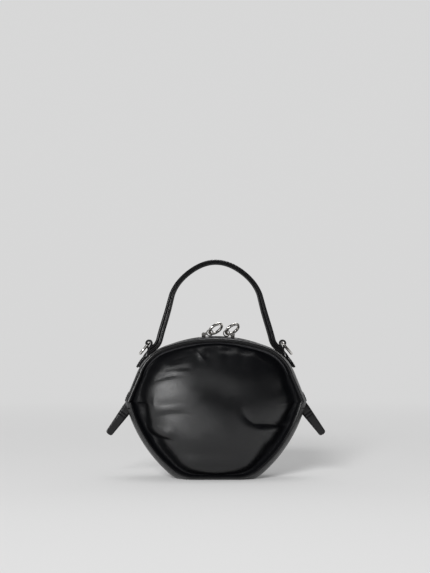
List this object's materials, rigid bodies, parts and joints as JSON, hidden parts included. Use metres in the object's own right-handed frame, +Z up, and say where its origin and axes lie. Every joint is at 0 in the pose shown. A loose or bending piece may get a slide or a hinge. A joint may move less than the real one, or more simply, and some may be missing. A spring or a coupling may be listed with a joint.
{
  "type": "top-handle bag",
  "caption": "Small round soft-leather top-handle bag with puffy faces, a two-way zip over the crown with ring pulls, side tabs and a stiff strap handle with D-rings.",
  "frame": {"origin": "on the floor under the middle of the base", "axes": "+Z up, +X to the bag's right as seen from the front, front towards -Y"},
  "size_m": [0.219, 0.095, 0.219],
  "materials": {
    "panel_leather": "soft sheen",
    "trim_leather": "smooth semi-gloss",
    "lining_cloth": "twill",
    "stiffener": "matte",
    "handle_filler": "matte",
    "zip_cloth": "woven",
    "zip_metal": "polished",
    "ring_metal": "polished"
  },
  "bodies": {
    "shell": {"front_panel": "panel_leather", "back_panel": "panel_leather", "bottom_gusset": "panel_leather", "zip_facing_front": "panel_leather", "zip_facing_back": "panel_leather", "front_piping": "trim_leather", "back_piping": "trim_leather", "tab_root_left": "trim_leather", "tab_root_right": "trim_leather", "ring_chape_left": "trim_leather", "ring_chape_right": "trim_leather", "handle_end_left": "trim_leather", "handle_end_right": "trim_leather", "front_lining": "lining_cloth", "back_lining": "lining_cloth", "slip_pocket": "lining_cloth", "base_board": "stiffener", "zip_tape_front": "zip_cloth", "zip_tape_back": "zip_cloth", "zip_teeth_front": "zip_metal", "zip_teeth_back": "zip_metal", "zip_end_stops": "zip_metal"},
    "handle": {"handle_strap": "trim_leather", "handle_core": "handle_filler", "handle_lining": "trim_leather"},
    "ring_loop_left": {"d_ring_left": "ring_metal"},
    "ring_loop_right": {"d_ring_right": "ring_metal"},
    "slider_left": {"slider_left": "zip_metal"},
    "slider_right": {"slider_right": "zip_metal"},
    "link_left": {"pull_link_left": "ring_metal"},
    "link_right": {"pull_link_right": "ring_metal"},
    "pull_left": {"pull_ring_left": "ring_metal"},
    "pull_right": {"pull_ring_right": "ring_metal"},
    "tab_left": {"zip_tab_left": "trim_leather"},
    "tab_right": {"zip_tab_right": "trim_leather"}
  },
  "joints": [
    {"name": "handle_swing", "type": "hinge", "parent": "shell", "child": "handle", "pos_m": [0, 0.0145, 0.146], "axis": [-1, 0, 0], "range_deg": [-70, 70], "stiffness_Nm_per_rad": 0.03},
    {"name": "d_ring_left_swing", "type": "hinge", "parent": "shell", "child": "ring_loop_left", "pos_m": [-0.06721, 0.0145, 0.13399], "axis": [0, 1, 0], "range_deg": [0, 140]},
    {"name": "d_ring_right_swing", "type": "hinge", "parent": "shell", "child": "ring_loop_right", "pos_m": [0.06721, 0.0145, 0.13399], "axis": [0, -1, 0], "range_deg": [0, 140]},
    {"name": "zip_left_run", "type": "hinge", "parent": "shell", "child": "slider_left", "pos_m": [0, 0, -0.0095], "axis": [0, -1, 0], "range_deg": [0, 12.5]},
    {"name": "zip_right_run", "type": "hinge", "parent": "shell", "child": "slider_right", "pos_m": [0, 0, -0.0095], "axis": [0, 1, 0], "range_deg": [0, 11]},
    {"name": "link_left_flip", "type": "hinge", "parent": "slider_left", "child": "link_left", "pos_m": [-0.01225, 0, 0.14316], "axis": [0, -1, 0], "range_deg": [0, 110]},
    {"name": "link_right_flip", "type": "hinge", "parent": "slider_right", "child": "link_right", "pos_m": [0.01705, 0, 0.1427], "axis": [0, 1, 0], "range_deg": [0, 70]},
    {"name": "ring_left_swing", "type": "hinge", "parent": "link_left", "child": "pull_left", "pos_m": [-0.00595, 0, 0.14473], "axis": [0, -1, 0], "range_deg": [0, 50]},
    {"name": "ring_right_swing", "type": "hinge", "parent": "link_right", "child": "pull_right", "pos_m": [0.01074, 0, 0.14427], "axis": [0, -1, 0], "range_deg": [0, 40]},
    {"name": "tab_left_bend", "type": "hinge", "parent": "shell", "child": "tab_left", "pos_m": [-0.09435, 0, 0.06108], "axis": [0, -1, 0], "range_deg": [-20, 20], "stiffness_Nm_per_rad": 0.01},
    {"name": "tab_right_bend", "type": "hinge", "parent": "shell", "child": "tab_right", "pos_m": [0.09435, 0, 0.06108], "axis": [0, 1, 0], "range_deg": [-20, 20], "stiffness_Nm_per_rad": 0.01}
  ]
}
